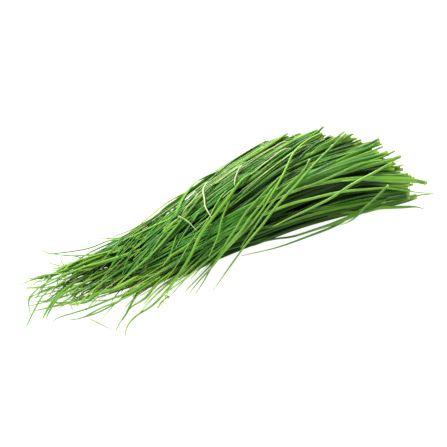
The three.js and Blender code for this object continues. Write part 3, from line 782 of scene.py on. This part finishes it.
MATH, RAMP, MIX = "ShaderNodeMath", "ShaderNodeMapRange", "ShaderNodeMix"
PLUS, TIMES, TIMES_PLUS, OVER, SINE, SIZE = (
    {"operation": name}
    for name in ("ADD", "MULTIPLY", "MULTIPLY_ADD", "DIVIDE", "SINE", "ABSOLUTE"))
SOFT = {"interpolation_type": "SMOOTHSTEP"}
COLOURS = {"data_type": "RGBA"}
FIRST, SECOND = 6, 7  # the two colour inputs of a mix; its colour output is 2

# What shows on a leaf, in millimetres on one of the usual width.
HALF_WIDTH = 1.1
VEIN_SPACING = 0.432  # finer on a real leaf; drawn this coarse so that they show
VEINS = 2 * math.pi * HALF_WIDTH / VEIN_SPACING
VEIN_RELIEF = 0.12
VEIN_STRENGTH = 0.25
STREAK_WIDTH = 0.5
STREAK_LENGTH = 20
NEW_STREAKS = 155.0  # takes each leaf to streaks of its own
STREAK_SCALE = (HALF_WIDTH / STREAK_WIDTH, 1 / STREAK_LENGTH, NEW_STREAKS)
STREAK_DETAIL = 3.0
STREAK_TONE = 0.7  # how much streaks change the tone
DEEP_TONE = 0.25  # painted shade: how much darker the tone of deeper leaves is painted
DEEP_ROUGHNESS = 0.5  # deep leaves show no highlight
PAINTED_EDGE_HIGHLIGHT = "#d5e0a4"  # painted highlight along a leaf's edges
# The colour of the painted shade.
BLACK = "#000000"
# Where each change of colour begins and is full, and how strong it gets.
MIDDLE_TONE = {"From Min": 0.0, "From Max": 0.5}
BRIGHT_TONE = {"From Min": 0.45, "From Max": 1.0}
LIGHTER = {"From Min": 0.5, "From Max": 3.0}  # these three by the share of the length
COOLER = {"From Min": 0.3, "From Max": 0.85, "To Max": 0.62}
YELLOW_TIP = {"From Min": 0.78, "From Max": 1.0, "To Max": 0.8}
CUT_END = {"From Min": 5.0, "From Max": 0.0, "To Max": 0.8}  # by the distance from the cut
# The painted highlight along a leaf's edges: where it begins and is full across the blade, and
# where the streaks break it up.
EDGE_HIGHLIGHT = {"From Min": 0.7, "From Max": 1.0, "To Max": 0.5}  # by the share of half the width
EDGE_HIGHLIGHT_GAPS = {"From Min": 0.35, "From Max": 0.65}
RIDGES = {"From Min": 0.2, "From Max": 1.0, "To Max": 0.12}
# A leaf's skin is a thin natural wax. IOR keeps the default, which is close to wax, and a
# low specular level leaves the highlight soft.
LEAF_SPECULAR = 0.22


def tone_of(tree, notes, streak, share):
    """How light the blade is: its own tone, long streaks, painted shade inside, lighter to the
    tip.
    """
    level = add(tree, MATH, TIMES_PLUS, {0: streak, 1: STREAK_TONE, 2: -STREAK_TONE / 2})
    level = add(tree, MATH, PLUS, {0: level, 1: notes["tone"]})
    level = add(tree, MATH, TIMES_PLUS, {0: notes["depth"], 1: -DEEP_TONE, 2: level})
    lighter = add(tree, RAMP, SOFT, {"Value": share, **LIGHTER})
    return add(tree, MATH, PLUS, {0: level, 1: lighter})


def leaf_material(name, shades, roughness):
    """A leaf: fine veins along it, a painted highlight along its edges, a paler cut end, a
    yellowing tip, and painted shade where little light gets in.
    """
    material = bpy.data.materials.new(name)
    material.use_nodes = True
    tree = material.node_tree
    shader = tree.nodes["Principled BSDF"]
    notes = {note: add(tree, "ShaderNodeAttribute", {"attribute_name": note}, {}, "Fac")
             for note in NOTES}
    across, from_cut = notes["across"], notes["from_cut"]
    share = add(tree, MATH, OVER, {0: from_cut, 1: notes["length"]})

    spot = add(tree, "ShaderNodeCombineXYZ", {}, {"X": across, "Y": from_cut, "Z": notes["tone"]})
    spot = add(tree, "ShaderNodeVectorMath", TIMES, {0: spot, 1: STREAK_SCALE})
    streak = add(tree, "ShaderNodeTexNoise", {},
                 {"Vector": spot, "Scale": 1.0, "Detail": STREAK_DETAIL})
    tone = tone_of(tree, notes, streak, share)
    side = add(tree, MATH, SIZE, {0: across})
    edge_highlight = add(tree, RAMP, SOFT, {"Value": side, **EDGE_HIGHLIGHT})
    highlight_patches = add(tree, RAMP, SOFT, {"Value": streak, **EDGE_HIGHLIGHT_GAPS})
    vein = add(tree, MATH, SINE, {0: add(tree, MATH, TIMES, {0: across, 1: VEINS})})

    # Each cover lets the next colour show over what lies under it.
    covers = (
        (add(tree, RAMP, SOFT, {"Value": tone, **MIDDLE_TONE}), shades["middle"]),
        (add(tree, RAMP, SOFT, {"Value": tone, **BRIGHT_TONE}), shades["bright"]),
        (add(tree, RAMP, SOFT, {"Value": share, **COOLER}), shades["cool"]),
        (add(tree, RAMP, SOFT, {"Value": share, **YELLOW_TIP}), shades["tip"]),
        (add(tree, RAMP, SOFT, {"Value": from_cut, **CUT_END}), shades["cut"]),
        # Painted highlight along the edges, broken up by the streaks.
        (add(tree, MATH, TIMES, {0: edge_highlight, 1: highlight_patches}), PAINTED_EDGE_HIGHLIGHT),
        (add(tree, RAMP, SOFT, {"Value": vein, **RIDGES}), shades["bright"]),
        # Painted shade: black over the leaves deep in the heap, low on its side and at the near
        # side of the tips.
        (add(tree, MATH, TIMES, {0: notes["depth"], 1: DEEP_SHADE}), BLACK),
    )
    base = colour(shades["dark"])
    for cover, text in covers:
        base = add(tree, MIX, COLOURS, {0: cover, FIRST: base, SECOND: colour(text)}, 2)
    tree.links.new(base, shader.inputs["Base Color"])

    rough = add(tree, MATH, TIMES_PLUS, {0: notes["depth"], 1: DEEP_ROUGHNESS, 2: roughness})
    tree.links.new(rough, shader.inputs["Roughness"])
    shader.inputs["Specular IOR Level"].default_value = LEAF_SPECULAR
    bump = add(tree, "ShaderNodeBump", {},
               {"Strength": VEIN_STRENGTH, "Distance": VEIN_RELIEF * MM, "Height": vein})
    tree.links.new(bump, shader.inputs["Normal"])
    return material


# A living leaf, grown flat and full of water, under a thin wax skin: a deep, clear green
# that varies from leaf to leaf, with a satin gleam along the veins.
fresh = leaf_material("fresh garlic chive leaf", {
    "dark": "#143a0c", "middle": "#367118", "bright": "#76ad2b", "cool": "#348727",
    "cut": "#a3c24a", "tip": "#a0c64c"}, 0.4)

# A leaf that lies out on top of the bunch: its lighter yellow-green is painted light, for the
# light that falls on it and shines through it, and its smoother skin gleams more.
lit_leaf = leaf_material("garlic chive leaf painted lit", {
    "dark": "#437417", "middle": "#5f9622", "bright": "#80b232", "cool": "#5f9a2c",
    "cut": "#a0c24a", "tip": "#9fb83c"}, 0.34)

# A leaf turned edge on or over: pale green-white, partly its paler underside and partly a painted
# highlight along it, and a little duller.
pale = leaf_material("pale garlic chive leaf", {
    "dark": "#4f7d2c", "middle": "#86a653", "bright": "#c3d295", "cool": "#86a653",
    "cut": "#c3d295", "tip": "#b9c77c"}, 0.42)

# A leaf that loses its green and keeps its water: soft yellow-green all along.
yellowing = leaf_material("yellowing garlic chive leaf", {
    "dark": "#8b9c38", "middle": "#a8b64c", "bright": "#c2cb72", "cool": "#98b046",
    "cut": "#bcc46a", "tip": "#b1b854"}, 0.45)

# A leaf end that has dried out, its skin shrunk and creased: straw over grey-green, matt.
straw = leaf_material("withered garlic chive leaf", {
    "dark": "#7f9a4c", "middle": "#a0ae70", "bright": "#bfc598", "cool": "#a9b57f",
    "cut": "#c3c79b", "tip": "#a9a468"}, 0.6)


# The leaves, a few handfuls or one kind of leaf to each piece.
def stand_for_bunch(name, blades, material):
    piece = mesh_of(name, blades, material)
    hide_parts("leaf_bunch")


def handful_blades(ring, index):
    blades = []
    for number in range(RINGS[ring]["leaves"]):
        leaf = leaf_of(ring, index, number)
        draw = Draw("leaf_blade", leaf_number("leaf_blade", ring, index, number))
        blades.append(blade(leaf_path(leaf), leaf["width"], leaf["tone"], draw, EVEN_SHARE))
    return blades


def stub_blades():
    blades = []
    for number in range(INNER_STUBS):
        leaf, draw = inner_stub(number), Draw("stub_blade", number)
        blades.append(blade(leaf_path(leaf), leaf["width"], leaf["tone"], draw,
                            stations=STUB_STATIONS))
    return blades


def trailing_blades():
    blades = []
    for k, (width, radius, points, *listed) in enumerate(STRAYS):
        draw = Draw("trailing", k)
        tone = draw.between(*STRAY_TONES)
        blades.append(blade(listed_path(points, radius), width, listed[0] if listed else tone,
                            draw, shade_to=LOOSE_SHADE_TO))
    return blades


def edge_blades(kind, leaves):
    return [blade(listed_path(points, 0), width, tone, Draw(kind, k), roll=EDGE_ROLL)
            for k, (width, tone, points) in enumerate(leaves)]


def fine_tip_blades():
    leaves = [fine_tip(number) for number in range(FINE_TIPS)]
    return [blade(leaf_path(leaf), leaf["width"], leaf["tone"], Draw("fine_tip_blade", k))
            for k, leaf in enumerate(leaves)]


def askew_blades(rule):
    blades = []
    for number in range(rule["count"]):
        draw = Draw(rule["kind"], BLADE_SEED + number)
        width, tone = draw.between(*rule["width"]), draw.between(*rule["tone"])
        blades.append(blade(askew_path(rule, number), width, tone, draw, EVEN_SHARE))
    return blades


def build_bunch():
    for ring, rule in enumerate(RINGS):
        for piece, first in enumerate(range(0, rule["handfuls"], rule["together"])):
            blades = []
            for index in range(first, min(first + rule["together"], rule["handfuls"])):
                blades += handful_blades(ring, index)
            stand_for_bunch(f"{rule['piece']}_{piece + 1}", blades, fresh)
    stand_for_bunch("inner_leaf_ends", stub_blades(), fresh)
    stand_for_bunch("trailing_leaves", trailing_blades(), fresh)
    stand_for_bunch("edge_leaves", edge_blades("edge", EDGE_LEAVES), lit_leaf)
    stand_for_bunch("yellowing_leaves", edge_blades("yellowing", YELLOWING_LEAVES), yellowing)
    stand_for_bunch("fine_leaf_tips", fine_tip_blades(), fresh)
    stand_for_bunch("crossing_leaves", askew_blades(CROSSING), fresh)
    stand_for_bunch("upper_leaves", askew_blades(UPPER), fresh)
    stand_for_bunch("pale_leaves", askew_blades(PALE), pale)


def build_loose():
    for k, (width, radius, points) in enumerate(LOOSE_LEAVES):
        draw = Draw("loose", k)
        path = listed_path(points, radius)
        if k + 1 in EMERGING:
            path = from_under(path)
        leaf = blade(path, width, draw.next(), draw, shade_to=LOOSE_SHADE_TO)
        piece = mesh_of(f"loose_leaf_fine_{k + 1}", [leaf], lit_leaf)
        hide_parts(f"loose_leaf_{k + 1}")


def build_withered():
    for k, (width, radius, points, tone) in enumerate(DRY_LEAVES):
        leaf = blade(listed_path(points, radius), width, tone, Draw("withered", k),
                     shade_to=LOOSE_SHADE_TO)
        piece = mesh_of(f"withered_leaf_end_{k + 1}", [leaf], straw)
        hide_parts(f"dry_leaf_{k + 1}")


build_bunch()
build_loose()
build_withered()


# Floor, light and camera, in metres.
FLOOR_SIZE = 6
PAPER_TINT = "#909090"
PAPER_ROUGHNESS = 0.9
PAPER_GLOW = 0.92
WHITE = "#ffffff"
LIGHTS = (  # name, place, width and watts; each aims at the bunch's origin
    ("key", (-0.3, 0.25, 1.1), 0.5, 18.5),
    ("back light", (0.5, 1.0, 0.6), 0.5, 13),
    ("fill", (0.3, -0.9, 0.5), 1.0, 3),
)
ROOM_LIGHT = 0.5

CAMERA_AZIMUTH = -28.8  # degrees
CAMERA_ELEVATION = 38
CAMERA_DISTANCE = 0.82
CAMERA_TARGET = Vector((0, 0, 0.015)) - MIDDLE * MM
PHOTO_PIXELS = 447
PIXEL_WIDTH = 0.00068  # of the photograph, at the bunch
SENSOR_WIDTH = 36  # millimetres


def paper(name):
    """Uncoated white paper, pressed smooth and matt. It is lit from below as on a light
    table, which keeps the bunch's shadow on it pale."""
    material = bpy.data.materials.new(name)
    material.use_nodes = True
    shader = material.node_tree.nodes["Principled BSDF"]
    shader.inputs["Base Color"].default_value = colour(PAPER_TINT)
    shader.inputs["Roughness"].default_value = PAPER_ROUGHNESS
    shader.inputs["Emission Color"].default_value = colour(WHITE)
    shader.inputs["Emission Strength"].default_value = PAPER_GLOW
    return material


def lay_floor():
    bpy.ops.mesh.primitive_plane_add(size=FLOOR_SIZE, location=(0, 0, 0))
    floor = bpy.context.object
    floor.name = "floor"
    floor.data.materials.append(paper("white backlit paper"))


def hang_light(name, place_m, width, watts):
    data = bpy.data.lights.new(name, "AREA")
    data.shape, data.size, data.energy = "DISK", width, watts
    lamp = bpy.data.objects.new(name, data)
    lamp.location = place_m
    lamp.rotation_euler = (-Vector(place_m)).to_track_quat("-Z", "Y").to_euler()
    bpy.context.scene.collection.objects.link(lamp)


def light_room():
    world = bpy.data.worlds.new("studio")
    world.use_nodes = True
    background = world.node_tree.nodes["Background"]
    background.inputs["Color"].default_value = colour(WHITE)
    background.inputs["Strength"].default_value = ROOM_LIGHT
    bpy.context.scene.world = world


def set_camera():
    turn, tilt = math.radians(CAMERA_AZIMUTH), math.radians(CAMERA_ELEVATION)
    back = Vector((math.sin(turn) * math.cos(tilt), -math.cos(turn) * math.cos(tilt),
                   math.sin(tilt)))
    data = bpy.data.cameras.new("camera")
    data.sensor_width = SENSOR_WIDTH
    data.lens = SENSOR_WIDTH * CAMERA_DISTANCE / (PHOTO_PIXELS * PIXEL_WIDTH)
    camera = bpy.data.objects.new("camera", data)
    camera.location = CAMERA_TARGET + CAMERA_DISTANCE * back
    camera.rotation_euler = (-back).to_track_quat("-Z", "Y").to_euler()
    bpy.context.scene.collection.objects.link(camera)
    bpy.context.scene.camera = camera


lay_floor()
for light in LIGHTS:
    hang_light(*light)
light_room()
set_camera()
bpy.context.scene.view_settings.view_transform = "Standard"
